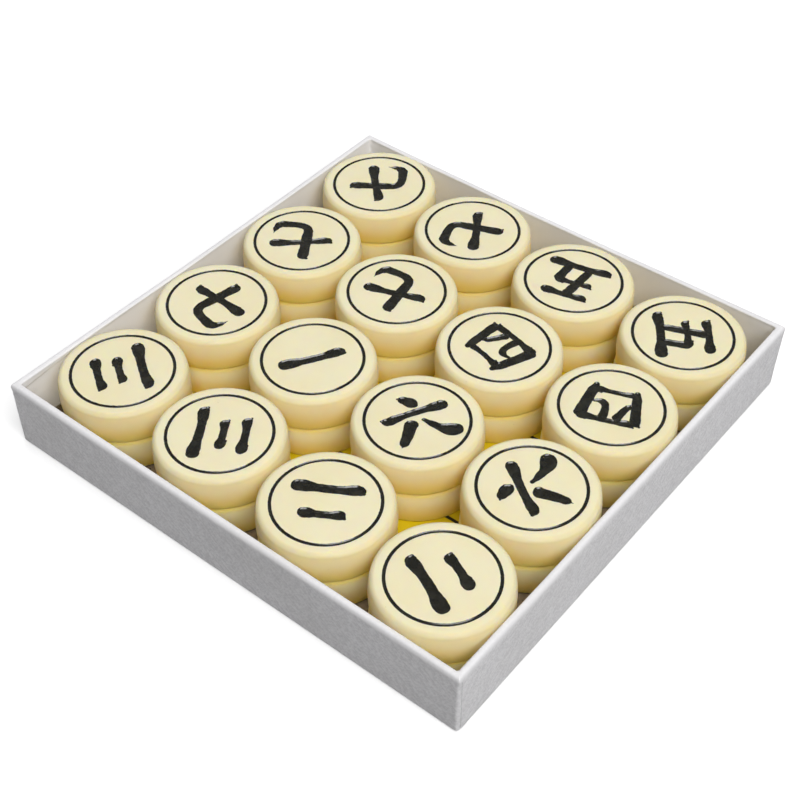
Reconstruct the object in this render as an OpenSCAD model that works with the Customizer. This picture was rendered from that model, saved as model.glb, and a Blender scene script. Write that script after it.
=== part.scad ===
// Boxed set of xiangqi discs: an open wrapped-board tray, a folded playing sheet and two layers of 4 x 4 discs.
// Origin: middle of the underside, +Z up, the front wall faces -Y and the right wall faces +X. Millimetres.

/* [Disc] */
// Diameter of a disc at its widest
disc_d = 40; // [24:0.5:60]
// Height of a disc
disc_h = 11.5; // [8:0.1:20]
// Rounding of the top edge
edge_r = 1.5; // [0.5:0.1:2.5]
// Rounding of the bottom edge
foot_r = 0.6; // [0.3:0.1:2.5]
// How far the side swells out between its rounded edges
side_bulge = 0.35; // [0.1:0.05:1]
// From the widest edge in to the middle of the ring groove
ring_inset = 4.35; // [3.5:0.05:8]
// Width of the ring groove at the face
ring_w = 1.2; // [0.4:0.1:1.5]
// Depth of the ring groove
ring_depth = 0.35; // [0.1:0.05:0.6]

/* [Layout] */
// Gap between neighbouring columns of discs
col_gap = 1.3; // [0.4:0.1:4]
// Gap between neighbouring rows of discs
row_gap = 0.8; // [0.4:0.1:4]
// How far each column sits nearer the front than the one to its left
col_drop = 0.75; // [0:0.05:2]
// Gap from the left wall to the first column
gap_left = 1.1; // [0.3:0.1:5]
// Gap from the right wall to the last column
gap_right = 0.4; // [0.3:0.1:5]
// Gap from the front wall to the nearest disc
gap_front = 0.3; // [0.3:0.1:5]
// Gap from the back wall to the nearest disc
gap_back = 0.45; // [0.3:0.05:5]

/* [Tray] */
// Thickness of the wall boards
wall_t = 1.65; // [0.8:0.05:3]
// Thickness of the base board
base_t = 1.2; // [0.8:0.1:3]
// Thickness of the wrapping paper
paper_t = 0.15; // [0.08:0.01:0.3]
// Thickness of the corner tape
stay_t = 0.15; // [0.08:0.01:0.3]
// Length of each leg of the corner tape
stay_w = 14; // [6:1:25]
// Rounding of the boards at the upright outer corners
board_r = 0.7; // [0.3:0.1:0.8]
// Rounding of the rim's outer edge, measured on the paper
rim_edge = 1.1; // [0.5:0.1:1.5]
// How far the upper discs stand above the rim
proud = 1.9; // [0:0.1:5]
// Height of bare board left below the wrapping paper inside the walls
bare_foot = 3.7; // [0:0.1:8]
// How far the wrapping paper reaches in under the base
turn_under = 12; // [5:1:30]
// How far the bottom paper stays in from the outer edge
bottom_inset = 2; // [1:0.5:4]

/* [Playing sheet] */
// Thickness of the sheet
film_t = 0.05; // [0.03:0.01:0.12]
// Air left between two folded layers
film_gap = 0.02; // [0.01:0.01:0.1]
// How much wider a cell of the printed grid is than a disc
cell_gap = 2.5; // [1:0.5:6]
// Margin round the printed grid
sheet_margin = 25; // [10:1:40]
// How far the folded sheet lies back from the middle of the tray
sheet_back = 6; // [0:0.5:9]
// Length left clear of the side folds at each end, where they meet the other folds
fold_relief = 1; // [0.5:0.1:3]

/* [Hidden] */
$fn = 96;
// A small overshoot for cuts
over = 1;

// The side's roles, row by row from the back left, as they lie in the tray
roles = [
  "soldier_1", "soldier_2", "chariot_1", "chariot_2",
  "soldier_3", "soldier_4", "horse_1", "horse_2",
  "soldier_5", "general", "cannon_1", "cannon_2",
  "elephant_1", "elephant_2", "advisor_1", "advisor_2"
];
tray_nodes = [
  "base_board", "front_wall_board", "back_wall_board", "left_wall_board", "right_wall_board",
  "corner_stays", "side_wrap", "bottom_paper"
];
black_nodes = [for (role = roles) str("black_", role)];
red_nodes = [for (role = roles) str("red_", role)];

// Grid of discs
cols = 4;
rows = len(roles) / cols;
col_pitch = disc_d + col_gap;
row_pitch = disc_d + row_gap;

// Plan of the tray: inner faces, board faces, tape faces and the paper's outer faces
inner_x = gap_left + gap_right + cols * disc_d + (cols - 1) * col_gap;
inner_y = gap_front + gap_back + rows * disc_d + (rows - 1) * row_gap + (cols - 1) * col_drop;
lined = [inner_x + 2 * paper_t, inner_y + 2 * paper_t];
boarded = [lined[0] + 2 * wall_t, lined[1] + 2 * wall_t];
taped = [boarded[0] + 2 * stay_t, boarded[1] + 2 * stay_t];
outer = [taped[0] + 2 * paper_t, taped[1] + 2 * paper_t];
taped_r = board_r + stay_t;
outer_r = taped_r + paper_t;

// Folded sheet: three panels each way, nine layers
grid_cells = [8, 9];
folds = 3;
layers = folds * folds;
cell = disc_d + cell_gap;
panel = [for (count = grid_cells) (count * cell + 2 * sheet_margin) / folds];
layer_pitch = film_t + film_gap;
sheet_h = (layers - 1) * layer_pitch + film_t;
sheet_y = max(0, min(sheet_back, (inner_y - panel[1]) / 2 - 1.5));

// Heights
lip_z = paper_t;
base_z = lip_z + paper_t;
floor_z = base_z + base_t;
red_z = floor_z + sheet_h;
black_z = red_z + disc_h;
tray_h = black_z + disc_h - proud;
wall_h = tray_h - paper_t - floor_z;
lining_z = floor_z + bare_foot;

// The rim's rounding leaves at least half of a wall board's top edge flat
rim_r = min(rim_edge, wall_t / 2 + stay_t + paper_t);
board_rim_r = max(rim_r - stay_t - paper_t, 0.1);

// Disc profile: the swell is an arc that meets both edge roundings in a smooth line
swell_half = (disc_h - edge_r - foot_r) / 2;
swell_z = foot_r + swell_half;
swell_r = (pow(swell_half, 2) + pow(side_bulge, 2)) / (2 * side_bulge);
swell_x = disc_d / 2 - swell_r;
ring_r = disc_d / 2 - ring_inset;
cutter_r = (ring_w * ring_w / 4 + ring_depth * ring_depth) / (2 * ring_depth);

// Radius of the flat face inside an edge rounding of radius r
function face_r(r) = swell_x + sqrt(pow(swell_r - r, 2) - pow(swell_half, 2));

// A point well outside the swell, on the line from its centre through the centre of a rounding
function swell_ray(r, side) = [swell_x + 2 * (face_r(r) - swell_x), swell_z + 2 * side * swell_half];

// Place of disc k on the tray's plan
function disc_x(k) = -inner_x / 2 + gap_left + disc_d / 2 + (k % cols) * col_pitch;
function disc_y(k) =
  inner_y / 2 - gap_back - disc_d / 2 - floor(k / cols) * row_pitch - (k % cols) * col_drop;

// Outline of a rectangle with round corners
module rounded(size, r) {
  square([size[0] - 2 * r, size[1]], center = true);
  square([size[0], size[1] - 2 * r], center = true);
  for (sx = [-1, 1], sy = [-1, 1])
    translate([sx * (size[0] / 2 - r), sy * (size[1] / 2 - r)])
      circle(r);
}

// Section of a block with its two upper edges rounded
module arch(width, top, r) {
  translate([-width / 2, 0])
    square([width, top - r]);
  translate([r - width / 2, 0])
    square([width - 2 * r, top]);
  for (side = [-1, 1])
    translate([side * (width / 2 - r), top - r])
      circle(r);
}

// Block from the ground up: upright corners rounded by corner_r, upper edges by edge
module rim_block(size, corner_r, top, edge) {
  intersection() {
    linear_extrude(top)
      rounded(size, corner_r);
    rotate([90, 0, 0])
      linear_extrude(size[1], center = true)
        arch(size[0], top, edge);
    rotate([90, 0, 90])
      linear_extrude(size[0], center = true)
        arch(size[1], top, edge);
  }
}

module base_board() {
  color("tan")
    translate([0, 0, base_z])
      linear_extrude(base_t)
        rounded(boarded, board_r);
}

// Outline of the front or back wall, side = -1 or 1: it runs the tray's full width
module long_wall(side) {
  intersection() {
    rounded(boarded, board_r);
    translate([0, side * (lined[1] + boarded[1]) / 4])
      square([boarded[0], wall_t], center = true);
  }
}

// The left or right wall, side = -1 or 1: it stands between the long walls
module short_wall(side) {
  translate([side * (lined[0] + boarded[0]) / 4, 0])
    square([wall_t, lined[1]], center = true);
}

module wall_board() {
  color("tan")
    intersection() {
      translate([0, 0, floor_z])
        linear_extrude(wall_h)
          children();
      rim_block(boarded, board_r, tray_h - paper_t, board_rim_r);
    }
}

module front_wall_board() {
  wall_board() long_wall(-1);
}

module back_wall_board() {
  wall_board() long_wall(1);
}

module left_wall_board() {
  wall_board() short_wall(-1);
}

module right_wall_board() {
  wall_board() short_wall(1);
}

// Four tapes, each bent round an upright corner of the boards, up to where the rim starts to round
module corner_stays() {
  color("burlywood")
    translate([0, 0, base_z])
      linear_extrude(tray_h - rim_r - base_z)
        difference() {
          rounded(taped, taped_r);
          rounded(boarded, board_r);
          square([taped[0] - 2 * stay_w, taped[1] + over], center = true);
          square([taped[0] + over, taped[1] - 2 * stay_w], center = true);
        }
}

// Room between the outer paper and the lining, for the boards and the tapes
module board_room() {
  difference() {
    intersection() {
      rim_block(taped, taped_r, tray_h - paper_t, rim_r - paper_t);
      translate([0, 0, base_z])
        linear_extrude(tray_h)
          square(outer, center = true);
    }
    translate([0, 0, lining_z])
      linear_extrude(tray_h)
        square(lined, center = true);
  }
}

// One band of paper: under the base, up the outside, over the rim and down the inside
module side_wrap() {
  color("white")
    difference() {
      rim_block(outer, outer_r, tray_h, rim_r);
      translate([0, 0, lip_z - 2 * tray_h])
        linear_extrude(2 * tray_h)
          square([outer[0] + over, outer[1] + over], center = true);
      translate([0, 0, lip_z - over])
        linear_extrude(2 * over)
          square([outer[0] - 2 * turn_under, outer[1] - 2 * turn_under], center = true);
      board_room();
      translate([0, 0, base_z])
        linear_extrude(tray_h)
          square([inner_x, inner_y], center = true);
    }
}

// Sheet of paper under the tray, over the turned-in edges of the band
module bottom_paper() {
  color("white")
    linear_extrude(paper_t)
      square([outer[0] - 2 * bottom_inset, outer[1] - 2 * bottom_inset], center = true);
}

// Half a ring of film, bulging towards +X, that joins layer a to layer b along a length
module fold_band(a, b, length) {
  fold_r = ((b - a) * layer_pitch + film_t) / 2;
  translate([0, length / 2, (a + b) / 2 * layer_pitch + film_t / 2])
    rotate([90, 0, 0])
      linear_extrude(length)
        difference() {
          circle(fold_r);
          circle(fold_r - film_t);
          translate([-2 * fold_r, -fold_r])
            square(2 * fold_r);
        }
}

// Which side the fold above layer i lies on: strips run to and fro, and each strip starts the other way
function fold_side(i) = (i % folds == 0) == (floor(i / folds) % 2 == 0) ? 1 : -1;

// The sheet is folded to and fro in thirds across its width, then in thirds along its length
module playing_sheet() {
  color("gold")
    translate([0, sheet_y, floor_z]) {
      for (i = [0 : layers - 1])
        translate([-panel[0] / 2, -panel[1] / 2, i * layer_pitch])
          cube([panel[0], panel[1], film_t]);
      for (i = [0 : layers - 2])
        if (i % folds != folds - 1)
          rotate(fold_side(i) > 0 ? 0 : 180)
            translate([panel[0] / 2, 0, 0])
              fold_band(i, i + 1, panel[1] - 2 * fold_relief);
      for (p = [0 : folds - 2], s = [0 : folds - 1])
        rotate(p % 2 == 0 ? 90 : -90)
          translate([panel[1] / 2, 0, 0])
            fold_band(folds * (p + 1) - 1 - s, folds * (p + 1) + s, panel[0]);
    }
}

// Half section of a disc: flat faces, rounded edges, swelling side and the ring groove in the top face
module disc_profile() {
  difference() {
    union() {
      translate([0, foot_r])
        square([face_r(edge_r), disc_h - foot_r]);
      square([face_r(foot_r), disc_h - edge_r]);
      translate([face_r(edge_r), disc_h - edge_r])
        circle(edge_r);
      translate([face_r(foot_r), foot_r])
        circle(foot_r);
      intersection() {
        translate([swell_x, swell_z])
          circle(swell_r);
        polygon([
          [face_r(foot_r), foot_r],
          swell_ray(foot_r, -1),
          swell_ray(edge_r, 1),
          [face_r(edge_r), disc_h - edge_r]
        ]);
      }
    }
    translate([ring_r, disc_h - ring_depth + cutter_r])
      circle(cutter_r);
  }
}

module disc(k, z) {
  color("ivory")
    translate([disc_x(k), disc_y(k), z])
      rotate_extrude()
        disc_profile();
}

base_board();
front_wall_board();
back_wall_board();
left_wall_board();
right_wall_board();
corner_stays();
side_wrap();
bottom_paper();
playing_sheet();
for (k = [0 : len(roles) - 1]) {
  disc(k, black_z);
  disc(k, red_z);
}
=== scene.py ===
import math

import bpy
import numpy as np
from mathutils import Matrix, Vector


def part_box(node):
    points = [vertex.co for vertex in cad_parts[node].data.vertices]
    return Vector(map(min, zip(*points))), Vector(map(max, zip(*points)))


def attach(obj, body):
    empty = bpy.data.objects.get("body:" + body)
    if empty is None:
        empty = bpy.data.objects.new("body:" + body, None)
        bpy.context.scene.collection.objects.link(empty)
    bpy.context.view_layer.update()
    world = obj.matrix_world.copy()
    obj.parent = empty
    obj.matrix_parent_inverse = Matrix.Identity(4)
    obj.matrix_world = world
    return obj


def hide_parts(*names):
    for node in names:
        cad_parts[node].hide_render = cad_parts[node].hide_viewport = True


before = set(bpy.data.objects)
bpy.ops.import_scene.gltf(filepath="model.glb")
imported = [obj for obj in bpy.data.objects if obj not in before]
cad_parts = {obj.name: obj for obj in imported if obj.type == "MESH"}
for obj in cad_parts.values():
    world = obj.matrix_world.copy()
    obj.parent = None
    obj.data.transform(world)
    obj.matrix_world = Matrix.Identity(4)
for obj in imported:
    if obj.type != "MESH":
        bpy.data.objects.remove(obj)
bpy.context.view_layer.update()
scene = bpy.context.scene
mm = 0.001  # lengths below are in millimetres unless a note says otherwise


# a CAD node's low corner, high corner and centre in mm
def boxOf(node):
    low, high = (np.array(corner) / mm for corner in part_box(node))
    return low, high, (low + high) / 2


# quads between the lines of a grid of points, row by row; a closed direction joins its last line to its first
def gridQuads(rows, columns, closeRows=False, closeColumns=False):
    rowStarts = np.arange(rows if closeRows else rows - 1)
    columnStarts = np.arange(columns if closeColumns else columns - 1)
    row, column = (part.ravel() for part in np.meshgrid(rowStarts, columnStarts, indexing="ij"))
    nextColumn = (column + 1) % columns
    here, above = row * columns, (row + 1) % rows * columns
    return np.stack([here + column, here + nextColumn, above + nextColumn, above + column], axis=1)


# puts points (mm) and quads into a mesh object at the origin; lastFace is one more face of many corners
def meshPiece(name, points, quads, material, lastFace=()):
    corners = np.concatenate([quads.ravel(), np.asarray(lastFace, int)]).astype(np.int32)
    starts = np.arange(len(quads) + bool(len(lastFace))).astype(np.int32) * 4
    mesh = bpy.data.meshes.new(name)
    mesh.vertices.add(len(points))
    mesh.vertices.foreach_set("co", (points * mm).astype(np.float32).ravel())
    mesh.loops.add(len(corners))
    mesh.loops.foreach_set("vertex_index", corners)
    mesh.polygons.add(len(starts))
    mesh.polygons.foreach_set("loop_start", starts)
    mesh.polygons.foreach_set("use_smooth", np.ones(len(starts), bool))
    mesh.update(calc_edges=True)
    mesh.validate()
    mesh.materials.append(material)
    piece = bpy.data.objects.new(name, mesh)
    scene.collection.objects.link(piece)
    return piece


# one number for each point of a piece, which its material reads by name
def setPointValues(piece, name, values):
    attribute = piece.data.attributes.new(name, "FLOAT", "POINT")
    attribute.data.foreach_set("value", values.astype(np.float32).ravel())


# smooth step from 0 at low to 1 at high
def ease(value, low, high):
    share = np.clip((value - low) / (high - low), 0, 1)
    return share * share * (3 - 2 * share)


def startMaterial(name):
    material = bpy.data.materials.new(name)
    material.use_nodes = True
    return material, material.node_tree, material.node_tree.nodes["Principled BSDF"]


# a node with its settings; an input is a number, a colour or another node's output
def addNode(tree, kind, inputs=None, **settings):
    made = tree.nodes.new(kind)
    for key, value in settings.items():
        setattr(made, key, value)
    for key, value in (inputs or {}).items():
        if isinstance(value, bpy.types.NodeSocket):
            tree.links.new(value, made.inputs[key])
        else:
            made.inputs[key].default_value = value
    return made


def objectSpace(tree):
    return addNode(tree, "ShaderNodeTexCoord").outputs["Object"]


def pointValue(tree, name):
    return addNode(tree, "ShaderNodeAttribute", attribute_name=name).outputs["Fac"]


def mathOf(tree, operation, first, second=0.0, third=0.0):
    return addNode(tree, "ShaderNodeMath", {0: first, 1: second, 2: third}, operation=operation).outputs[0]


def mixColour(tree, share, first, second):
    return addNode(tree, "ShaderNodeMix", {0: share, 6: first, 7: second}, data_type="RGBA").outputs[2]


def mixNumber(tree, share, first, second):
    return addNode(tree, "ShaderNodeMix", {0: share, 2: first, 3: second}, data_type="FLOAT").outputs[0]


# toLow where the value is at low, toHigh where it is at high
def spread(tree, value, low, high, toLow=0.0, toHigh=1.0, kind="SMOOTHSTEP"):
    inputs = {"Value": value, "From Min": low, "From Max": high, "To Min": toLow, "To Max": toHigh}
    return addNode(tree, "ShaderNodeMapRange", inputs, interpolation_type=kind).outputs[0]


# noise on the given coordinates, grain is the size of its blotches in mm
def noiseOf(tree, coordinates, grain, detail=2.0, rough=0.5, stretch=(1, 1, 1)):
    if tuple(stretch) != (1, 1, 1):
        coordinates = addNode(tree, "ShaderNodeMapping", {"Vector": coordinates, "Scale": stretch}).outputs[0]
    inputs = {"Vector": coordinates, "Scale": 1 / (grain * mm), "Detail": detail, "Roughness": rough}
    return addNode(tree, "ShaderNodeTexNoise", inputs).outputs["Fac"]


# blotches by a recipe: grain in mm, detail, and the two noise levels between which they come up
def blotches(tree, coordinates, recipe, toLow=0.0, toHigh=1.0, kind="SMOOTHSTEP"):
    grain, detail, low, high = recipe
    return spread(tree, noiseOf(tree, coordinates, grain, detail), low, high, toLow, toHigh, kind)


# joins colour, roughness and a bump to the shader; relief is the bump's strength and its height in mm
def applyFinish(tree, shader, colour, rough, height, relief):
    tree.links.new(colour, shader.inputs["Base Color"])
    tree.links.new(rough, shader.inputs["Roughness"])
    inputs = {"Strength": relief[0], "Distance": relief[1] * mm, "Height": height}
    bump = addNode(tree, "ShaderNodeBump", inputs)
    tree.links.new(bump.outputs["Normal"], shader.inputs["Normal"])


# moulded ivory plastic with painted signs
ivoryLook = {
    "plastic": (0.88, 0.815, 0.58, 1),
    "plasticWarm": (0.86, 0.785, 0.53, 1),
    "warmClouds": (22, 3.0, 0.35, 0.7),  # this and the like: a recipe for blotches
    "amberShade": (0.90, 0.67, 0.18, 1),  # painted shade: the side deepens towards this at the foot, standing in for light that has travelled through the plastic
    "edgeShade": (0.66, 0.60, 0.44, 1),  # painted shade on the rounded top edge, in patches, dimming where the lamps catch it
    "edgeShadePatches": (6, 3.0, 0.3, 0.7),
    "edgeShadeShare": (0.42, 0.58),
    "speck": (0.55, 0.44, 0.24, 1),
    "specks": (1.6, 1.0, 0.80, 0.83),  # a very few tiny dark grains in the plastic
    "speckShare": 0.3,
    "blackPaint": ((0.0115, 0.011, 0.006, 1), (0.026, 0.025, 0.018, 1)),
    "redPaint": ((0.36, 0.020, 0.014, 1), (0.44, 0.032, 0.020, 1)),
    "paintClouds": (3.0, 3.0, 0.4, 0.7),
    "paintEdge": (0.9, 2.0, 0.2, 0.8),
    "ragged": 0.05,  # how far the paint's edge strays either way
    "chips": (1.9, 2.0, 0.77, 0.79),  # paint missing in small spots
    "plasticGrain": (5, 4.0, 0.3, 0.7),
    "plasticRough": (0.50, 0.61),
    "paintGrain": (2.2, 3.0, 0.3, 0.7),
    "paintRough": (0.10, 0.19),
    "coatRough": 0.12,  # the paint's own clear gloss
    "glow": 1.0,  # how much light travels inside the plastic
    "glowTint": (1.0, 0.80, 0.32),
    "glowDepth": 4.0,
    "relief": (1.0, 0.4),
    "creep": 0.35,  # how far paint climbs at the edge of its groove, as a share of the relief
    "creepFade": 4.5,  # how fast that dies away from the edge, per mm
    "lumps": 0.2,  # unevenness of the paint, as a share of the relief
    "lumpGrain": 2.4,
    "grit": 0.012,  # and of the plastic
    "gritGrain": 0.8,
}


# the point value ink is the distance in mm to the nearest painted edge, below 0 in the paint
def ivoryMaterial(name, paints):
    look = ivoryLook
    material, tree, shader = startMaterial(name)
    where = objectSpace(tree)
    plastic = mixColour(tree, blotches(tree, where, look["warmClouds"]), look["plastic"], look["plasticWarm"])
    # painted shade: amber down the side and on the rounded edge
    plastic = mixColour(tree, pointValue(tree, "amberShade"), plastic, look["amberShade"])
    # painted shade: darker patches in a band on the top edge
    patches = blotches(tree, where, look["edgeShadePatches"], *look["edgeShadeShare"], "LINEAR")
    edgeShade = mathOf(tree, "MULTIPLY", pointValue(tree, "edgeShade"), patches)
    plastic = mixColour(tree, edgeShade, plastic, look["edgeShade"])
    specks = mathOf(tree, "MULTIPLY", blotches(tree, where, look["specks"]), look["speckShare"])
    plastic = mixColour(tree, specks, plastic, look["speck"])
    ink, ragged = pointValue(tree, "ink"), look["ragged"]
    edge = mathOf(tree, "ADD", ink, blotches(tree, where, look["paintEdge"], -ragged, ragged, "LINEAR"))
    unchipped = mathOf(tree, "SUBTRACT", 1.0, blotches(tree, where, look["chips"]))
    painted = mathOf(tree, "MULTIPLY", spread(tree, edge, ragged, -ragged), unchipped)
    paint = mixColour(tree, blotches(tree, where, look["paintClouds"]), *paints)
    colour = mixColour(tree, painted, plastic, paint)
    matt = blotches(tree, where, look["plasticGrain"], *look["plasticRough"])
    gloss = blotches(tree, where, look["paintGrain"], *look["paintRough"])
    # paint climbs the edge of its groove, so it curves there; far from an edge both finishes are nearly level
    climb = mathOf(tree, "EXPONENT", mathOf(tree, "MULTIPLY", ink, look["creepFade"]))
    creep = mathOf(tree, "MULTIPLY", mathOf(tree, "MULTIPLY", painted, climb), look["creep"])
    lumps = mathOf(tree, "MULTIPLY", painted, noiseOf(tree, where, look["lumpGrain"]))
    lumps = mathOf(tree, "MULTIPLY", lumps, look["lumps"])
    grit = mathOf(tree, "MULTIPLY", noiseOf(tree, where, look["gritGrain"], 3.0), look["grit"])
    height = mathOf(tree, "ADD", mathOf(tree, "ADD", creep, lumps), grit)
    applyFinish(tree, shader, colour, mixNumber(tree, painted, matt, gloss), height, look["relief"])
    tree.links.new(painted, shader.inputs["Coat Weight"])
    shader.inputs["Coat Roughness"].default_value = look["coatRough"]
    shader.inputs["Subsurface Weight"].default_value = look["glow"]
    shader.inputs["Subsurface Radius"].default_value = look["glowTint"]
    shader.inputs["Subsurface Scale"].default_value = look["glowDepth"] * mm
    return material


# white linen-finish paper: fine threads both ways, laid over the surface by Object coordinates
paperLook = {
    "paper": (0.92, 0.912, 0.922, 1),
    # the dull of the linen's hollows, which also serves as painted shade on the rim
    "paperDullAndShade": (0.75, 0.74, 0.752, 1),
    "scuff": (0.66, 0.64, 0.62, 1),
    "scuffs": (30, 4.0, 0.4, 0.75),  # a recipe for blotches
    "scuffShare": 0.2,
    "seamShade": (0.34, 0.33, 0.33, 1),  # painted shade in the paper's trimmed edge, deepening its shallow groove
    "seamShare": 0.38,
    "thread": 0.62,  # pitch of the linen threads
    "threadRough": 0.6,
    "threadRatio": 0.22,  # a thread's width over its length
    "slant": -0.6,  # the threads' turn from the tray's edges, in radians
    "hollow": (1.2, 0.8),  # thread heights where the dull between them starts and is full
    "rimShade": 1.4,  # painted shade on the rim, which the lamps light more than the sides
    "rough": (0.62, 0.5),  # between the threads and on them
    "shine": 0.35,
    "relief": (0.8, 0.14),
    "calmRelief": 0.12,  # its strength on the rim and the lining
}


# the point value calm is 0 on the outer sides, a half on the rim, where it brings painted shade, and 1 on the
# plain lining, which keeps none of the dull hollows: partly its smoother paper, partly painted light on the
# inner walls
def paperMaterial(name, linen=1.0):
    look = paperLook
    material, tree, shader = startMaterial(name)
    where = objectSpace(tree)
    turns = {"Vector": where, "Rotation": (look["slant"], look["slant"], 0)}
    slanted = addNode(tree, "ShaderNodeMapping", turns).outputs[0]
    thin = look["threadRatio"]
    upright = noiseOf(tree, slanted, look["thread"], 2.0, look["threadRough"], (1, 1, thin))
    level = noiseOf(tree, slanted, look["thread"], 2.0, look["threadRough"], (thin, thin, 1))
    threads = mathOf(tree, "ADD", upright, level)
    calm = pointValue(tree, "calm")
    lively = mathOf(tree, "SUBTRACT", 1.0, calm)
    hollows = spread(tree, threads, *look["hollow"], 0.0, linen, "LINEAR")
    hollows = mathOf(tree, "MULTIPLY", hollows, mathOf(tree, "MULTIPLY", lively, lively))
    # dull hollows of the linen on the outer sides, and painted shade on the rim; the lining has neither and
    # stays bright, partly painted light
    dullAndRimShade = mathOf(tree, "MULTIPLY_ADD", mathOf(tree, "MULTIPLY", calm, lively), look["rimShade"], hollows)
    colour = mixColour(tree, dullAndRimShade, look["paper"], look["paperDullAndShade"])
    scuffs = mathOf(tree, "MULTIPLY", blotches(tree, where, look["scuffs"]), look["scuffShare"])
    colour = mixColour(tree, scuffs, colour, look["scuff"])
    # painted shade along the trimmed edge
    seamShading = mathOf(tree, "MULTIPLY", pointValue(tree, "seam"), look["seamShare"])
    colour = mixColour(tree, seamShading, colour, look["seamShade"])
    rough = spread(tree, threads, 0.7, 1.3, *look["rough"])
    strength, tallness = look["relief"]
    strength = spread(tree, calm, 0.0, 0.5, strength * linen, look["calmRelief"] * linen, "LINEAR")
    applyFinish(tree, shader, colour, rough, threads, (strength, tallness))
    shader.inputs["Specular IOR Level"].default_value = look["shine"]
    return material


# bare grey-brown board with pulp fibres and darker flecks
boardLook = {
    "board": (0.24, 0.185, 0.115, 1),
    "boardPale": (0.34, 0.27, 0.18, 1),
    "pulpGrain": 2.4,
    "fibreGrain": 0.8,
    "fibreStretch": (0.25, 1, 1),
    "fleck": (0.09, 0.065, 0.035, 1),
    "flecks": (0.9, 2.0, 0.66, 0.72),  # a recipe for blotches
    "rough": (0.8, 0.95),
    "relief": (0.5, 0.12),
}


def boardMaterial(name):
    look = boardLook
    material, tree, shader = startMaterial(name)
    where = objectSpace(tree)
    pulp = noiseOf(tree, where, look["pulpGrain"], 6.0, 0.65)
    fibre = noiseOf(tree, where, look["fibreGrain"], 4.0, 0.6, look["fibreStretch"])
    colour = mixColour(tree, spread(tree, pulp, 0.35, 0.7), look["board"], look["boardPale"])
    colour = mixColour(tree, blotches(tree, where, look["flecks"]), colour, look["fleck"])
    applyFinish(tree, shader, colour, spread(tree, fibre, 0.3, 0.7, *look["rough"]), fibre, look["relief"])
    return material


# brown gummed tape
tapeLook = {
    "tape": (0.46, 0.31, 0.17, 1),
    "tapeDark": (0.36, 0.235, 0.12, 1),
    "fibreGrain": 1.1,
    "fibreStretch": (1, 1, 0.2),
    "rough": (0.55, 0.75),
    "relief": (0.3, 0.05),
}


def tapeMaterial(name):
    look = tapeLook
    material, tree, shader = startMaterial(name)
    fibre = noiseOf(tree, objectSpace(tree), look["fibreGrain"], 5.0, 0.6, look["fibreStretch"])
    colour = mixColour(tree, spread(tree, fibre, 0.35, 0.65), look["tape"], look["tapeDark"])
    applyFinish(tree, shader, colour, spread(tree, fibre, 0.3, 0.7, *look["rough"]), fibre, look["relief"])
    return material


# yellow film with the board's lines, drawn on the UV map, which holds the flat sheet's own metres
sheetSizes = {
    "cell": 42.5,
    "cellsAcross": 8,
    "cellsAlong": 9,
    "margin": 25.0,
    "film": 0.05,
    "clearance": 0.02,
    "line": 1.1,
    "lineSoft": 0.08,
    "palaceRows": (1, 8),  # the lines on which the two palaces have their centres
    "printShift": (6.0, 2.9),  # the print isn't quite in the middle of the film
    "pressed": (20.0, 26.0),  # mm from a disc's centre: flat within the first, free past the second
    "ripple": 0.45,  # how far the upper layers lift in the gaps among the discs
    "yellow": (0.74, 0.58, 0.006, 1),
    "yellowDeep": (0.66, 0.50, 0.005, 1),
    "deepClouds": (14, 3.0, 0.35, 0.7),  # a recipe for blotches
    "lineInk": (0.02, 0.018, 0.012, 1),
    "creaseGrain": 4,
    "rough": (0.38, 0.52),
    "relief": (0.25, 0.1),
}


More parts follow.
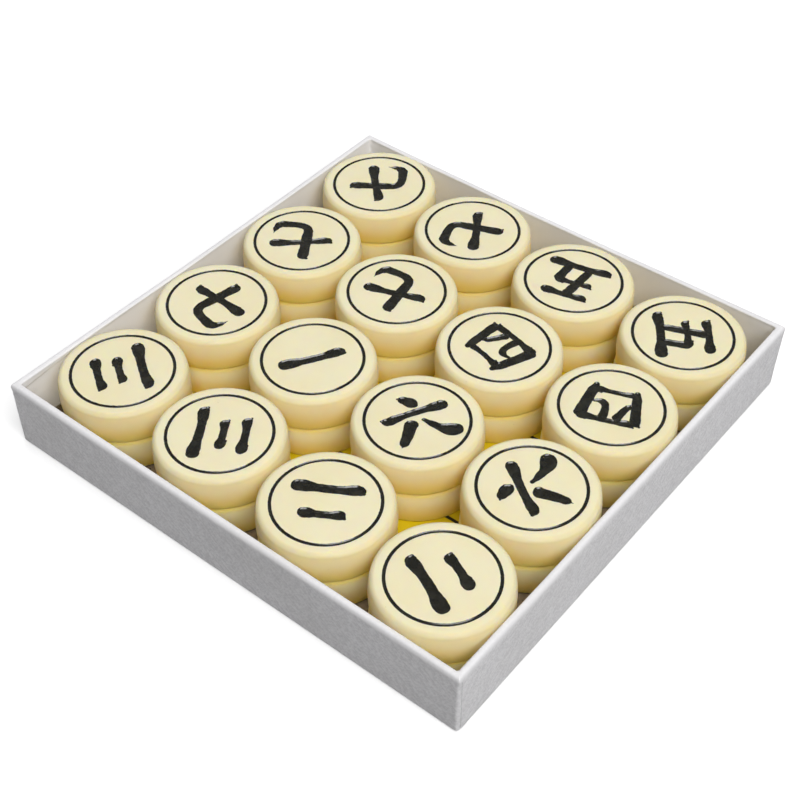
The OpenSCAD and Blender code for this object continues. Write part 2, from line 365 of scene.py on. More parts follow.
def sheetMaterial(name):
    sizes = sheetSizes
    cell, margin = sizes["cell"], sizes["margin"]
    halfLine, soft = sizes["line"] / 2, sizes["lineSoft"]
    halfAcross, halfAlong = cell * sizes["cellsAcross"] / 2, cell * sizes["cellsAlong"] / 2
    midAcross, midAlong = margin + halfAcross, margin + halfAlong
    material, tree, shader = startMaterial(name)
    flat = addNode(tree, "ShaderNodeUVMap", uv_map="flat").outputs["UV"]
    axes = addNode(tree, "ShaderNodeSeparateXYZ", {0: flat}).outputs
    # mm from the print's own corner
    across = mathOf(tree, "MULTIPLY_ADD", axes[0], 1 / mm, -sizes["printShift"][0])
    along = mathOf(tree, "MULTIPLY_ADD", axes[1], 1 / mm, -sizes["printShift"][1])

    # 1 where both places are within the given reach of their middles
    def within(first, firstMiddle, firstReach, second, secondMiddle, secondReach):
        inFirst = mathOf(tree, "COMPARE", first, firstMiddle, firstReach)
        return mathOf(tree, "MULTIPLY", inFirst, mathOf(tree, "COMPARE", second, secondMiddle, secondReach))

    # 1 on lines at every cell
    def ruled(place):
        phase = mathOf(tree, "PINGPONG", mathOf(tree, "SUBTRACT", place, margin), cell / 2)
        return spread(tree, phase, halfLine + soft, halfLine - soft)

    # 1 on a slanting line through a palace's centre, within one cell of it
    def slanted(row, sign):
        fromMiddle = mathOf(tree, "SUBTRACT", across, midAcross)
        fromRow = mathOf(tree, "SUBTRACT", along, margin + row * cell)
        away = mathOf(tree, "ABSOLUTE", mathOf(tree, "MULTIPLY_ADD", fromRow, sign, fromMiddle))
        half = 1.4 * halfLine  # half a slanting line's width, measured across the sheet
        line = spread(tree, away, half + soft, half - soft)
        return mathOf(tree, "MULTIPLY", line, within(fromMiddle, 0.0, cell, fromRow, 0.0, cell))

    # the open band across the middle has no upright lines, but for the two outer ones
    band = within(along, midAlong, cell / 2 - halfLine, across, midAcross, halfAcross - cell / 2)
    upright = mathOf(tree, "MULTIPLY", ruled(across), mathOf(tree, "SUBTRACT", 1.0, band))
    lines = mathOf(tree, "MAXIMUM", upright, ruled(along))
    grid = within(across, midAcross, halfAcross + halfLine, along, midAlong, halfAlong + halfLine)
    lines = mathOf(tree, "MULTIPLY", lines, grid)
    for row in sizes["palaceRows"]:
        for sign in (1.0, -1.0):
            lines = mathOf(tree, "MAXIMUM", lines, slanted(row, sign))
    yellow = mixColour(tree, blotches(tree, flat, sizes["deepClouds"]), sizes["yellow"], sizes["yellowDeep"])
    colour = mixColour(tree, lines, yellow, sizes["lineInk"])
    crease = noiseOf(tree, flat, sizes["creaseGrain"], 4.0)
    rough = spread(tree, crease, 0.3, 0.7, *sizes["rough"])
    applyFinish(tree, shader, colour, rough, crease, sizes["relief"])
    return material


blackDisc = ivoryMaterial("ivory with black paint", ivoryLook["blackPaint"])
redDisc = ivoryMaterial("ivory with red paint", ivoryLook["redPaint"])
wrapPaper = paperMaterial("white linen paper")
underPaper = paperMaterial("white underside paper", 0.6)
greyBoard = boardMaterial("bare grey board")
stayTape = tapeMaterial("gummed tape")
sheetFilm = sheetMaterial("yellow ruled film")
print("materials made")


# a stroke is a row of round dabs: their centres follow the Bezier curve of the control points, and their
# radii run smoothly through shares of the stroke's width, at even steps or at the given places (0 to 1)
def brush(controls, shares, places=None, width=1.0, dabs=90):
    order = len(controls) - 1
    t = np.linspace(0, 1, dabs)
    power = np.arange(order + 1)
    binomial = np.array([math.comb(order, k) for k in power])
    weights = binomial * t[:, None] ** power * (1 - t[:, None]) ** (order - power)
    places = np.linspace(0, 1, len(shares)) if places is None else np.array(places)
    radii = np.array(shares) * width
    step = np.clip(np.searchsorted(places, t, side="right") - 1, 0, len(radii) - 2)
    share = ease(t, places[step], places[step + 1])
    radius = radii[step] * (1 - share) + radii[step + 1] * share
    return np.column_stack([weights @ np.array(controls, float), radius])


# a level stroke: wedge at its head, lean waist, and a heavy shoulder that ends in a point
def levelStroke(x0, y0, x1, y1, width=0.15):
    reach = x1 - x0
    lift = 0.06 * reach
    path = [(x0 + 0.04, y0 - 0.02), (x0 + 0.3 * reach, y0 + lift),
            (x1 - 0.25 * reach, y1 + lift * 0.2), (x1, y1 - 0.02)]
    body = brush(path, [0.35, 0.9, 0.68, 0.7, 1.0, 0.92, 0.25], [0, 0.1, 0.34, 0.62, 0.86, 0.93, 1], width)
    head = brush([(x0 - 0.02, y0 + 0.11), (x0 + 0.12, y0 + 0.01)], [0.25, 0.8], width=width)
    shoulder = brush([(x1 - 0.24, y1 + 0.13), (x1 - 0.08, y1 + 0.02)], [0.25, 0.85], width=width)
    return np.concatenate([body, head, shoulder])


# an upright or left-falling stroke: wedge head, then thinning to its foot
def fallStroke(x0, y0, x1, y1, bend=0.0, width=0.15, foot=0.1):
    middle = ((x0 + x1) / 2 + bend, (y0 + y1) / 2 + bend * 0.3)
    shares = [0.5, 1.0, 0.9, 0.75 * (1 - foot) + foot, foot]
    body = brush([(x0, y0), middle, (x1, y1)], shares, [0, 0.1, 0.4, 0.78, 1], width)
    head = brush([(x0 - 0.13, y0 + 0.05), (x0 + 0.02, y0 - 0.07)], [0.25, 0.85], width=width)
    return np.concatenate([body, head])


# a right-falling stroke: thin start, swelling low down, flicked out to a point
def sweepStroke(x0, y0, x1, y1, width=0.2):
    reach = x1 - x0
    path = [(x0, y0), (x0 + 0.30 * reach, y0 + 0.55 * (y1 - y0)),
            (x0 + 0.62 * reach, y1 - 0.02), (x1, y1 + 0.06)]
    return brush(path, [0.25, 0.5, 0.95, 0.9, 0.08], [0, 0.3, 0.74, 0.84, 1], width)


# plain numerals one to seven, upright in a box from -1 to 1
numeralStrokes = {
    1: [levelStroke(-0.92, -0.04, 0.94, 0.02, 0.21)],
    2: [levelStroke(-0.56, 0.42, 0.58, 0.46, 0.18), levelStroke(-0.92, -0.50, 0.94, -0.46, 0.21)],
    3: [levelStroke(-0.62, 0.66, 0.64, 0.70, 0.165), levelStroke(-0.48, 0.06, 0.52, 0.09, 0.155),
        levelStroke(-0.90, -0.62, 0.94, -0.58, 0.19)],
    4: [fallStroke(-0.76, 0.50, -0.58, -0.72, 0.0, 0.16, 0.55), levelStroke(-0.72, 0.52, 0.84, 0.56, 0.145),
        fallStroke(0.80, 0.56, 0.60, -0.76, 0.03, 0.18, 0.5),
        fallStroke(-0.22, 0.46, -0.50, -0.24, 0.05, 0.13, 0.1),
        brush([(0.16, 0.46), (0.12, -0.04), (0.20, -0.20), (0.50, -0.10)], [0.13, 0.11, 0.115, 0.06]),
        levelStroke(-0.58, -0.62, 0.64, -0.60, 0.125)],
    5: [levelStroke(-0.66, 0.70, 0.70, 0.74, 0.165), fallStroke(-0.04, 0.66, -0.32, -0.66, 0.0, 0.16, 0.6),
        levelStroke(-0.60, 0.08, 0.50, 0.13, 0.14), fallStroke(0.46, 0.12, 0.34, -0.66, 0.02, 0.16, 0.6),
        levelStroke(-0.92, -0.72, 0.96, -0.68, 0.19)],
    6: [brush([(-0.20, 0.96), (-0.02, 0.86), (0.16, 0.56)], [0.03, 0.15, 0.19, 0.10], [0, 0.45, 0.8, 1]),
        levelStroke(-0.92, 0.22, 0.96, 0.27, 0.18), fallStroke(-0.22, -0.06, -0.84, -0.84, 0.10, 0.19, 0.06),
        sweepStroke(0.16, -0.06, 0.94, -0.80, 0.25)],
    7: [levelStroke(-0.92, -0.06, 0.92, 0.24, 0.18), fallStroke(-0.16, 0.86, -0.14, -0.44, 0.0, 0.18, 0.85),
        brush([(-0.14, -0.34), (-0.16, -0.80), (0.24, -0.74), (0.72, -0.74)], [0.15, 0.145, 0.14, 0.16]),
        brush([(0.66, -0.74), (0.92, -0.74), (0.94, -0.24)], [0.16, 0.15, 0.10, 0.01])],
}


# distance in mm from points to the edge of a numeral: the least of distance to a dab less its radius
def numeralDistance(x, y, numeral, turn, size):
    across = (x * math.cos(turn) + y * math.sin(turn)) / size
    along = (y * math.cos(turn) - x * math.sin(turn)) / size
    nearest = np.full(x.shape, np.inf)
    for dabs in numeralStrokes[numeral]:
        gaps = np.hypot(across[..., None] - dabs[:, 0], along[..., None] - dabs[:, 1]) - dabs[:, 2]
        nearest = np.minimum(nearest, gaps.min(axis=-1))
    return nearest * size


discSizes = {
    "diameter": 40.0,
    "height": 11.48,  # a hair less than in the CAD, so that no disc shares a plane with what it rests on
    "edge": 1.5,
    "foot": 0.6,
    "bulge": 0.35,
    "ringInset": 4.35,
    "ringWidth": 1.2,
    "ringDepth": 0.28,
    "leanInk": 0.1,  # the ring's paint stops this far short of its edges
    "plateGap": 1.15,  # from the ring's inner edge to the plate that holds the sign
    "signSize": 10.6,
    "signDepth": 0.45,
    "signSlope": 0.75,  # width of the slope from a sign's edge to its floor
    "signWaver": 0.05,  # the cut edge isn't ruler straight
    "edgeAmberShade": 0.28,  # share of amber on the rounded top edge, painted shade that dims its lit rounding
    "edgeShadeAt": 0.9,  # middle and half width of the band of painted edge shade, from where the rounding starts
    "edgeShadeWidth": 0.65,
    "underShadeRadius": (17.2, 18.5),  # painted shade: a disc lying under another is deep amber from here out, in the upper disc's shade
    "underShadeFall": (0.5, 2.2),  # and down to here below its face
    "seed": 11,  # of the turns at which the discs lie
}
discSides = {  # steps are the squares across the sign's plate; the lower side lies under the upper one, whose shade is painted on its top edge
    "red": {"material": redDisc, "slot": "ivory_red_paint", "steps": 60, "shadedByUpper": 1.0},
    "black": {"material": blackDisc, "slot": "ivory_black_paint", "steps": 128, "shadedByUpper": 0.0},
}
numerals = {"general": 1, "advisor": 2, "elephant": 3, "horse": 4, "chariot": 5, "cannon": 6, "soldier": 7}


# radius, height (0 at the top face), distance to the ring's paint, painted amber shade and painted edge
# shade, from the plate down:
# flat face with a round-bottomed ring, quarter round at the edge, slight swell, small quarter round below
def discProfile(inner):
    sizes = discSizes
    edge, foot, height = sizes["edge"], sizes["foot"], sizes["height"]
    radius, half = sizes["diameter"] / 2, (height - edge - foot) / 2
    swell = (half ** 2 + sizes["bulge"] ** 2) / (2 * sizes["bulge"])  # the swell's own radius
    swellX, swellZ = radius - swell, -edge - half
    edgeX = swellX + math.sqrt((swell - edge) ** 2 - half ** 2)
    footX = swellX + math.sqrt((swell - foot) ** 2 - half ** 2)
    edgeTurn, footTurn = math.atan2(half, edgeX - swellX), -math.atan2(half, footX - swellX)
    ringR, ringHalf = radius - sizes["ringInset"], sizes["ringWidth"] / 2
    beside = 0.05  # points this close beside an edge keep it crisp
    faceR = np.concatenate([np.linspace(inner, ringR - ringHalf - beside, 3)[1:],
                            ringR + ringHalf * np.linspace(-1, 1, 11),
                            np.linspace(ringR + ringHalf + beside, edgeX - beside, 4)])
    faceZ = -sizes["ringDepth"] * np.clip(1 - ((faceR - ringR) / ringHalf) ** 2, 0, None)
    edgeArc = np.linspace(math.pi / 2, edgeTurn, 11)
    swellArc = np.linspace(edgeTurn, footTurn, 13)[1:-1]
    footArc = np.linspace(footTurn, -math.pi / 2, 7)
    r = np.concatenate([faceR, edgeX + edge * np.cos(edgeArc), swellX + swell * np.cos(swellArc),
                        footX + foot * np.cos(footArc)])
    z = np.concatenate([faceZ, -edge + edge * np.sin(edgeArc), swellZ + swell * np.sin(swellArc),
                        -height + foot + foot * np.sin(footArc)])
    ink = np.abs(r - ringR) - ringHalf + sizes["leanInk"]
    # painted shade: amber deepening down the side to the foot, and some on the rounded top edge
    amberShade = ease(-z, edge * 0.3, height - foot)
    amberShade = np.maximum(amberShade, sizes["edgeAmberShade"] * ease(r, edgeX - 0.2, edgeX + 0.8))
    # painted shade: a darker band on the top rounding
    edgeShade = np.exp(-((r - edgeX - sizes["edgeShadeAt"]) / sizes["edgeShadeWidth"]) ** 2) * (z > -edge)
    return r, z, ink, amberShade, edgeShade


# the face is a square grid pressed into a round plate (x = u root(1 - v v / 2), y likewise), sunk where the
# sign is; its rim runs on as rings down the profile, and one many-sided face closes the underside
def disc(node, numeral, turn, wobble, material, steps, shadedByUpper):
    sizes = discSizes
    _, high, centre = boxOf(node)
    inner = sizes["diameter"] / 2 - sizes["ringInset"] - sizes["ringWidth"] / 2 - sizes["plateGap"]
    grid = np.linspace(-1, 1, steps + 1)
    v, u = np.meshgrid(grid, grid, indexing="ij")
    x, y = inner * u * np.sqrt(1 - v * v / 2), inner * v * np.sqrt(1 - u * u / 2)
    sign = numeralDistance(x, y, numeral, turn, sizes["signSize"])
    sign = sign + sizes["signWaver"] * np.sin(1.7 * x + wobble) * np.sin(1.9 * y - wobble)
    sunk = np.clip(-sign / sizes["signSlope"], 0, 1)
    z = -sizes["signDepth"] * (1 - (1 - sunk) ** 2)
    plate = np.stack([x, y, z], axis=-1).reshape(-1, 3)
    index = np.arange((steps + 1) ** 2).reshape(steps + 1, steps + 1)
    rim = np.concatenate([index[0, :-1], index[:-1, -1], index[-1, :0:-1], index[:0:-1, 0]])
    angle = np.arctan2(plate[rim, 1], plate[rim, 0])
    count = len(angle)
    r, ringZ, ink, amberShade, edgeShade = discProfile(inner)
    # painted shade: a disc under another takes the upper disc's shade at its top edge, and loses the painted
    # edge shade
    underShade = ease(r, *sizes["underShadeRadius"]) * (1 - ease(-ringZ, *sizes["underShadeFall"]))
    amberShade, edgeShade = np.maximum(amberShade, shadedByUpper * underShade), edgeShade * (1 - shadedByUpper)
    rings = [r[:, None] * np.cos(angle), r[:, None] * np.sin(angle), np.repeat(ringZ[:, None], count, 1)]
    points = np.concatenate([plate, np.stack(rings, -1).reshape(-1, 3)]) + (centre[0], centre[1], high[2])
    order = np.concatenate([rim, len(plate) + np.arange(len(r) * count)])  # rows of the rim and its rings
    skirt = order[gridQuads(len(r) + 1, count, closeColumns=True)[:, ::-1]]
    quads = np.concatenate([gridQuads(steps + 1, steps + 1), skirt])
    piece = meshPiece(node + "_disc", points, quads, material, order[-count:][::-1])
    bare = 0 * sign
    for name, onPlate, onRings in (("ink", sign, ink), ("amberShade", bare, amberShade), ("edgeShade", bare, edgeShade)):
        setPointValues(piece, name, np.concatenate([onPlate.ravel(), np.repeat(onRings, count)]))
    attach(piece, node)
    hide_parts(node)
    return piece


rng = np.random.default_rng(discSizes["seed"])
for side, kind in discSides.items():
    for node in sorted(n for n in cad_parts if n.startswith(side + "_")):
        numeral = numerals[node.split("_")[1]]
        turn, wobble = rng.uniform(-math.pi, math.pi), rng.uniform(0, 6)
        piece = disc(node, numeral, turn, wobble, kind["material"], kind["steps"], kind["shadedByUpper"])
    print(side, "discs made")


# folded film: a place across the flat sheet gives x and a layer height by an accordion of three panels;
# a place along it turns those three layers over twice more, each fold a half circle, which makes nine layers
def foldedSheet():
    sizes = sheetSizes
    low, _, centre = boxOf("playing_sheet")
    pitch = sizes["film"] + sizes["clearance"]  # from one layer to the next
    width = (sizes["cellsAcross"] * sizes["cell"] + 2 * sizes["margin"]) / 3
    length = (sizes["cellsAlong"] * sizes["cell"] + 2 * sizes["margin"]) / 3
    run = np.linspace(0, 1, 45)  # along a panel
    bend = np.linspace(0, math.pi, 9)[1:-1]  # round a fold
    panels = np.concatenate([run, 1 + 0 * bend, 1 + run, 2 + 0 * bend, 2 + run])  # places on the flat sheet
    # across: panel to the right, fold, panel to the left, fold, panel to the right
    out, up, level = pitch / 2 * np.sin(bend), (1 - np.cos(bend)) / 2, 0 * run
    x = np.concatenate([width * (run - 0.5), width / 2 + out, width * (0.5 - run), -width / 2 - out,
                        width * (run - 0.5)])
    layer = (np.concatenate([level, up, level + 1, 1 + up, level + 2]) * pitch)[None, :]
    # along: the same with three layers at a time; a layer's radius is its distance from the fold's middle
    run, bend, still = run[:, None], bend[:, None], 0 * layer
    under, over = 2.5 * pitch - layer, 0.5 * pitch + layer  # radii of the two folds
    y = np.concatenate([length * (run - 0.5) + still, length / 2 + under * np.sin(bend),
                        length * (0.5 - run) + still, -length / 2 - over * np.sin(bend),
                        length * (run - 0.5) + still])
    z = np.concatenate([layer + 0 * run, 2.5 * pitch - under * np.cos(bend), 5 * pitch - layer + 0 * run,
                        5.5 * pitch - over * np.cos(bend), 6 * pitch + layer + 0 * run])
    x = x[None, :] + 0 * y
    # under a disc the film is pressed flat; in the gaps the upper layers ripple
    discCentres = np.array([boxOf(node)[2][:2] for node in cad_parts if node.startswith("red_")])
    places = np.stack([x + centre[0], y + centre[1]], -1)
    fromDisc = np.sqrt(((places[..., None, :] - discCentres) ** 2).sum(-1)).min(-1)
    wave = 0.6 + 0.4 * np.sin(0.11 * x + 0.4) * np.cos(0.13 * y - 0.7)
    z = z + sizes["ripple"] * ease(fromDisc, *sizes["pressed"]) * wave * (z / (8 * pitch)) ** 1.5
    points = np.concatenate([places, (z + low[2] + sizes["film"] / 2)[..., None]], -1).reshape(-1, 3)
    piece = meshPiece("folded_sheet", points, gridQuads(*x.shape), sheetFilm)
    flat = np.stack(np.broadcast_arrays(panels * width, panels[:, None] * length), -1).reshape(-1, 2) * mm
    loops = np.empty(len(piece.data.loops), np.int32)
    piece.data.loops.foreach_get("vertex_index", loops)
    uv = piece.data.uv_layers.new(name="flat")
    uv.data.foreach_set("uv", flat[loops].astype(np.float32).ravel())
    thick = piece.modifiers.new("film", "SOLIDIFY")
    thick.thickness = sizes["film"] * mm
    thick.offset = 0.0
    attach(piece, "playing_sheet")
    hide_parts("playing_sheet")


foldedSheet()
print("playing sheet folded")


wrapSizes = {
    "paper": 0.15,
    "wall": 2.1,  # board with paper on both sides
    "sideSkin": 0.3,  # what lies less deep than this is the outer side
    "turnUnder": 12.0,
    "footRound": 0.4,
    "rimOuter": 1.1,
    "rimDrop": 1.7,  # the outer rounding is a little taller than wide
    "rimInner": 0.45,
    "barefoot": 3.7,  # board left bare below the lining
    "waver": 0.35,  # unevenness of the lining's lower edge
    "waverFade": 6.0,  # and how far up it can be told
    "liningLoose": 0.05,  # the lining stands this far off the board
    "corner": 1.0,
    "innerCorner": 0.25,
    "liningCorner": 0.9,  # the lining doesn't reach right into the corners
    "rimCorner": 0.7,  # the folded paper is sharper at the top of a corner
    "cornerFold": 0.14,  # and thicker there
    "foldDepth": 1.2,  # how far over the rim that thickness reaches
    "foldFade": (2.4, 1.0),  # this and the like: depths below the rim where it starts and is full
    "cornerLift": 0.8,  # every corner of the rim but the front right one stands a little high
    "cornerFlare": 0.25,  # and a little out
    "cornerReach": 60.0,
    "seam": 0.32,  # from a corner to the trimmed edge of the paper on the left and right sides
    "seamSoft": 0.06,
    "seamStep": 0.11,
    "seamWidth": 0.19,
    "seamFade": (2.6, 1.3),
    "turnIn": 2.8,  # depth below the rim of the crease in the lining at the front left corner
    "creaseStep": 0.22,
    "creaseReach": (16.0, 40.0),  # how far along the wall the crease climbs, and how far it can be seen
    "ruck": 0.10,  # puckers of the lining by the corners
    "ruckReach": 7.0,
    "wave": 0.05,  # slow unevenness of the sides
    "rimWave": 0.06,
    "rimWaveFade": (3.0, 0.0),
    "liningCalm": (1.6, 0.3),
    "sideCalm": (2.2, 0.9),
}


# depth from the outer side and height along the band's closed profile: underside lip, outer side, over the
# rim, down the lining, then back inside the paper's thickness; the last value counts the points on its face
def bandProfile(top, bottom, lining):
    sizes = wrapSizes
    paper, wall, foot, under = sizes["paper"], sizes["wall"], sizes["footRound"], sizes["turnUnder"]
    outer, drop, inner = sizes["rimOuter"], sizes["rimDrop"], sizes["rimInner"]
    quarter = np.linspace(0, math.pi / 2, 8)
    sine, cosine = np.sin(quarter), np.cos(quarter)
    climb = np.linspace(0, 1, 26)[1:-1]
    fall = top - inner - lining
    creased = (sizes["turnIn"] + 0.5 - inner) / fall  # points are close together down to the lining's crease
    descend = np.concatenate([np.linspace(0, creased, 16)[1:], np.linspace(creased, 1, 18)[1:-1]])
    faceDepth = np.concatenate([[under, 6.0, 1.0], foot - foot * sine, 0 * climb, outer - outer * cosine,
                                [(outer + wall - inner) / 2], wall - inner + inner * sine,
                                wall + 0 * descend, [wall]])
    faceHeight = np.concatenate([[bottom] * 3, bottom + foot - foot * cosine,
                                 bottom + foot + (top - drop - bottom - foot) * climb,
                                 top - drop + drop * sine, [top], top - inner + inner * cosine,
                                 top - inner - fall * descend, [lining]])
    backDepth = np.concatenate([[wall - paper] * 2, outer - (outer - paper) * sine, [paper, under]])
    backHeight = np.concatenate([[lining, top - paper], top - drop + (drop - paper) * cosine,
                                 [bottom + paper] * 2])
    depth, height = np.concatenate([faceDepth, backDepth]), np.concatenate([faceHeight, backHeight])
    return depth, height, len(faceDepth)


# places round a square with its corners at -1 and 1, and the outward direction at each: sides of the given
# length, points close together by the corners, where the trimmed edge is, and a quarter turn at each corner
def bandPath(length):
    trim = wrapSizes["seam"] + np.linspace(-0.2, 0.26, 10)
    widening = [0.8, 1.2, 1.9, 2.6, 3.6, 5, 7, 9.5, 12.5, 16]
    ends = np.concatenate([[0.0, 0.08], trim, widening])  # distances from a corner
    place = np.concatenate([ends, np.linspace(19, length - 19, 46), (length - ends)[::-1]]) / length * 2 - 1
    turn = np.linspace(0, math.pi / 2, 8)[1:-1]
    side, spot, sine, cosine = np.ones(len(place)), np.ones(len(turn)), np.sin(turn), np.cos(turn)
    none = 0 * side
    placeX = np.concatenate([place, spot, side, spot, -place, -spot, -side, -spot])
    placeY = np.concatenate([-side, -spot, place, spot, side, spot, -place, -spot])
    outX = np.concatenate([none, sine, side, cosine, none, -sine, -side, -cosine])
    outY = np.concatenate([-side, -cosine, none, sine, side, cosine, none, -sine])
    return placeX, placeY, outX, outY


# the paper band: its profile carried round a rectangle with round corners; a point at some depth lies on the
# rectangle smaller by that depth all round, pushed outwards by the unevenness of the paper
def paperBand():
    sizes = wrapSizes
    low, high, centre = boxOf("side_wrap")
    top, bottom, lining = high[2], low[2], boxOf("base_board")[1][2] + sizes["barefoot"]
    half, wall, inner = (high - low) / 2, sizes["wall"], sizes["rimInner"]
    length = 2 * (half[0] - sizes["corner"])
    depth, height, faceCount = bandProfile(top, bottom, lining)
    placeX, placeY, outX, outY = bandPath(length)
    onFace = (np.arange(len(depth)) < faceCount)[:, None]
    depth, height = depth[:, None] + 0 * placeX, height[:, None]
    onSide, onLining = onFace & (depth < sizes["sideSkin"]), onFace & (depth > wall - 0.05)
    fromCorner = (1 - np.minimum(np.abs(placeX), np.abs(placeY))) * length / 2

    # 0 up to the first depth below the rim, 1 from the second
    def nearRim(fade):
        return ease(height, top - fade[0], top - fade[1])

    # round of the corners at every depth and height, and the thick fold of paper on them
    cornerHere = sizes["corner"] - (sizes["corner"] - sizes["rimCorner"]) * nearRim(sizes["foldFade"])
    wider = (sizes["liningCorner"] - sizes["innerCorner"]) * ease(depth, wall - inner, wall) * onFace
    cornerRound = np.maximum(cornerHere - depth, sizes["innerCorner"] + wider)
    onCorner = np.minimum(np.abs(outX), np.abs(outY)) * math.sqrt(2)
    fold = sizes["cornerFold"] * onCorner * nearRim(sizes["foldFade"]) * (depth < sizes["foldDepth"])
    # the left and right sides carry the trimmed paper: a narrow groove by the corner, then a step up
    trimmed, belowRim = np.abs(outX) > 0.999, 1 - nearRim(sizes["seamFade"])
    seam, soft = sizes["seam"], sizes["seamSoft"]
    groove = np.exp(-((fromCorner - seam + 0.02) / sizes["seamWidth"]) ** 2)
    groove = np.where(trimmed, groove, 0) * belowRim
    step = np.where(trimmed, ease(fromCorner, seam - soft, seam + soft), 0)
    lap = sizes["seamStep"] * (step - groove) * belowRim
    # slow waves, puckers by the corners, and the crease of the lining
    wave = sizes["wave"] * np.sin(0.083 * fromCorner + placeX * 3 + placeY * 2) * np.sin(height * 0.21)
    ruck = sizes["ruck"] * np.exp(-fromCorner / sizes["ruckReach"]) * np.sin(height * 0.9 + 2 * outX - outY)
    crease = top - sizes["turnIn"] * (0.3 + 0.7 * np.exp(-fromCorner / sizes["creaseReach"][0]))
    turned = np.exp(-fromCorner / sizes["creaseReach"][1]) * ease(height, crease - 0.2, crease + 0.2)
    turned = turned * (outX < -0.9) * (placeY < 0)
    # 0 at the front right corner and at the foot, 1 at the top of the back corners, 0.7 at the front left one
    proud = (1 - (0.65 + 0.35 * placeX) * (1 - placeY) / 2) * np.exp(-fromCorner / sizes["cornerReach"])
    proud = proud * (height - bottom) / (top - bottom)
    push = np.where(onSide, lap + wave, 0)
    slack = -np.abs(ruck) + wave * 0.6 - sizes["liningLoose"] - sizes["creaseStep"] * turned
    push = push + np.where(onLining, slack, 0)
    push = push + np.where(onFace, fold, 0)
    push = push + np.where(onFace & (depth < wall - inner), sizes["cornerFlare"] * proud, 0)
    x = placeX * (half[0] - depth - cornerRound) + outX * (cornerRound + push)
    y = placeY * (half[1] - depth - cornerRound) + outY * (cornerRound + push)
    # the lower edge of the lining wavers, the rim is not quite level
    waver = np.sin(placeX * 9 + placeY * 4) * 0.6 + np.sin(placeX * 23 - placeY * 17 + 1) * 0.4
    waver = sizes["waver"] * waver
    lowEnd = ease(-height, -lining - sizes["waverFade"], -lining)
    onEdge = np.where(np.abs(depth - wall) < sizes["paper"] + 0.05, lowEnd, 0)
    rimWave = sizes["rimWave"] * np.sin(placeX * 11 + 1) * np.cos(placeY * 9 - 2)
    rimWave = rimWave * nearRim(sizes["rimWaveFade"])
    z = height + onEdge * waver + np.where(onFace, rimWave, 0) + sizes["cornerLift"] * proud
    points = np.stack([x + centre[0], y + centre[1], z], -1).reshape(-1, 3)
    quads = gridQuads(len(depth), len(placeX), closeRows=True, closeColumns=True)
    piece = meshPiece("paper_band", points, quads, wrapPaper)
    inside = (depth > wall - inner + 0.01) & (depth < wall + 0.1)
    # calm: a half on the rim for painted shade, 1 on the lining, which stays bright, partly as painted light
    calm = np.where(inside, 1 - 0.5 * nearRim(sizes["liningCalm"]), 0.5 * nearRim(sizes["sideCalm"]))
    # the seam value carries painted shade into the trimmed edge's groove
    setPointValues(piece, "seam", groove * onSide)
    setPointValues(piece, "calm", calm * onFace)
    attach(piece, "tray")
    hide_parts("side_wrap")


paperBand()
print("paper band wrapped")

# the boards, tapes and underside paper keep their CAD shape and get their finish
trayFinish = {
    "base_board": greyBoard,
    "front_wall_board": greyBoard,
    "back_wall_board": greyBoard,
    "left_wall_board": greyBoard,
    "right_wall_board": greyBoard,
    "corner_stays": stayTape,
    "bottom_paper": underPaper,
}
for node, material in trayFinish.items():
    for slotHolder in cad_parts[node].material_slots:
        slotHolder.material = material
print("tray boards finished")


floorLook = {
    "pale": (0.98, 0.98, 0.98, 1),
    "bounce": (0.14, 0.14, 0.145, 1),  # the floor as the object's sides see it
    "rough": 0.9,
    "shine": 0.1,
    "glow": (0.16, 1.0),  # lifts the floor to white for the eye only, and more so where the lamps don't reach
    "glowReach": (500.0, 1800.0),
    "half": 4000.0,
    "drop": 0.05,  # under the tray, so that the two share no plane
}


def floorMaterial(name):
    look = floorLook
    material, tree, shader = startMaterial(name)
    path = addNode(tree, "ShaderNodeLightPath").outputs
    seen = mathOf(tree, "MAXIMUM", path["Is Camera Ray"], path["Is Glossy Ray"])
    seen = mathOf(tree, "MAXIMUM", seen, path["Is Transmission Ray"])
    tree.links.new(mixColour(tree, seen, look["bounce"], look["pale"]), shader.inputs["Base Color"])
    away = addNode(tree, "ShaderNodeVectorMath", {0: objectSpace(tree)}, operation="LENGTH").outputs["Value"]
    near, far = look["glowReach"]
    glow = spread(tree, away, near * mm, far * mm, *look["glow"])
    tree.links.new(mathOf(tree, "MULTIPLY", path["Is Camera Ray"], glow), shader.inputs["Emission Strength"])
    shader.inputs["Emission Color"].default_value = (1, 1, 1, 1)
    shader.inputs["Roughness"].default_value = look["rough"]
    shader.inputs["Specular IOR Level"].default_value = look["shine"]
    return material


floorCorners = np.array([(-1, -1, 0), (1, -1, 0), (1, 1, 0), (-1, 1, 0)]) * floorLook["half"]
floorCorners = floorCorners - (0, 0, floorLook["drop"])
floorPiece = meshPiece("floor", floorCorners, np.array([[0, 1, 2, 3]]), floorMaterial("pale floor"))

lampSizes = {  # places and sides in mm, power in watts
    "sky": 0.15,  # strength of the white surroundings, which the eye sees at 1
    "key": {"toward": (0.52, -0.27, 0.81), "away": 2600.0, "side": 2000.0, "power": 64.0},
    "overhead": {"place": (-300, 400, 1750), "side": 950.0, "power": 6.6},
    "fill": {"place": (-1400, 1400, 350), "side": 500.0, "power": 6.5},  # low, from behind, for the far walls
}

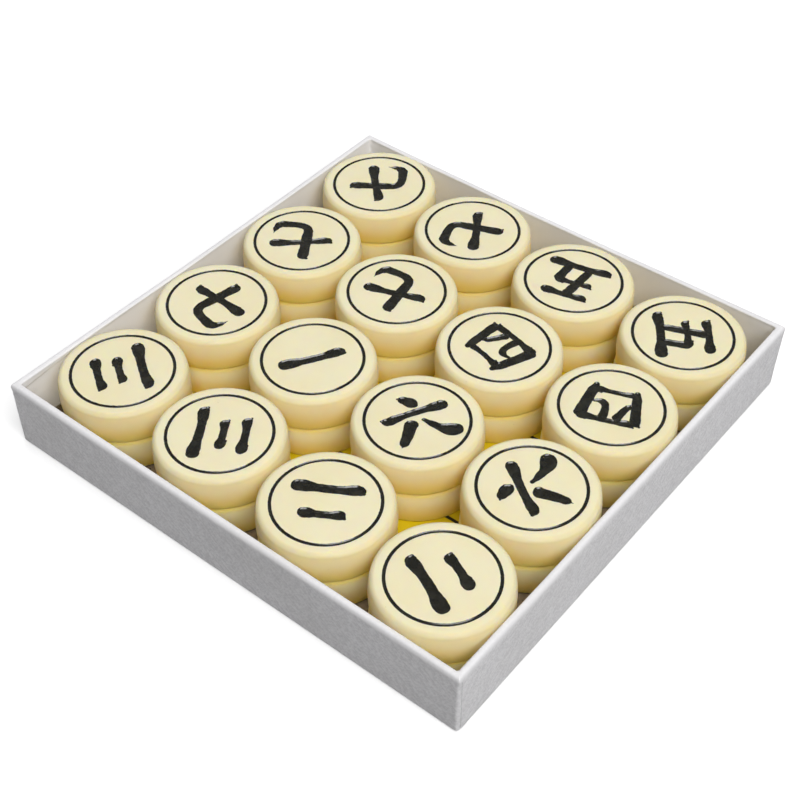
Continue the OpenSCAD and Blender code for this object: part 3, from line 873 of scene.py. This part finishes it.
world = bpy.data.worlds.new("studio")
world.use_nodes = True
scene.world = world
tree = world.node_tree
path = addNode(tree, "ShaderNodeLightPath").outputs
seen = mathOf(tree, "MAXIMUM", path["Is Camera Ray"], path["Is Transmission Ray"])
backdrop = tree.nodes["Background"]
backdrop.inputs["Color"].default_value = (1, 1, 1, 1)
tree.links.new(mixNumber(tree, seen, lampSizes["sky"], 1.0), backdrop.inputs["Strength"])


# a square soft lamp, aimed at a point; a lamp that isn't mirrored leaves no highlights
def softLamp(name, place, aim, side, power, mirrored):
    lamp = bpy.data.lights.new(name, "AREA")
    lamp.shape = "SQUARE"
    lamp.size = side * mm
    lamp.energy = power
    holder = bpy.data.objects.new(name, lamp)
    holder.location = Vector(place) * mm
    holder.visible_glossy = mirrored
    holder.rotation_euler = (Vector(aim) - Vector(place)).to_track_quat("-Z", "Y").to_euler()
    scene.collection.objects.link(holder)


key, overhead, fill = lampSizes["key"], lampSizes["overhead"], lampSizes["fill"]
keyPlace = Vector(key["toward"]).normalized() * key["away"]
softLamp("key", keyPlace, (0, 0, 0), key["side"], key["power"], True)
softLamp("overhead", overhead["place"], (0, 0, 0), overhead["side"], overhead["power"], False)
softLamp("fill", fill["place"], (0, 0, 12), fill["side"], fill["power"], False)

cameraSizes = {
    "target": (3.53, -7.26, 12.0),
    "distance": 444.91,
    "azimuth": 38.756,  # degrees round from the front
    "elevation": 44.421,
    "lens": 64.757,
    "sensor": 36.0,
}
azimuth, elevation = math.radians(cameraSizes["azimuth"]), math.radians(cameraSizes["elevation"])
level = math.cos(elevation)
back = Vector((math.sin(azimuth) * level, -math.cos(azimuth) * level, math.sin(elevation)))
camera = bpy.data.cameras.new("camera")
camera.sensor_width = cameraSizes["sensor"]
camera.lens = cameraSizes["lens"]
camera.clip_start, camera.clip_end = 0.01, 50.0  # metres
cameraHolder = bpy.data.objects.new("camera", camera)
cameraHolder.location = (Vector(cameraSizes["target"]) + back * cameraSizes["distance"]) * mm
cameraHolder.rotation_euler = (-back).to_track_quat("-Z", "Y").to_euler()
scene.collection.objects.link(cameraHolder)
scene.camera = cameraHolder
scene.view_settings.view_transform = "Standard"
print("floor, lamps and camera set")
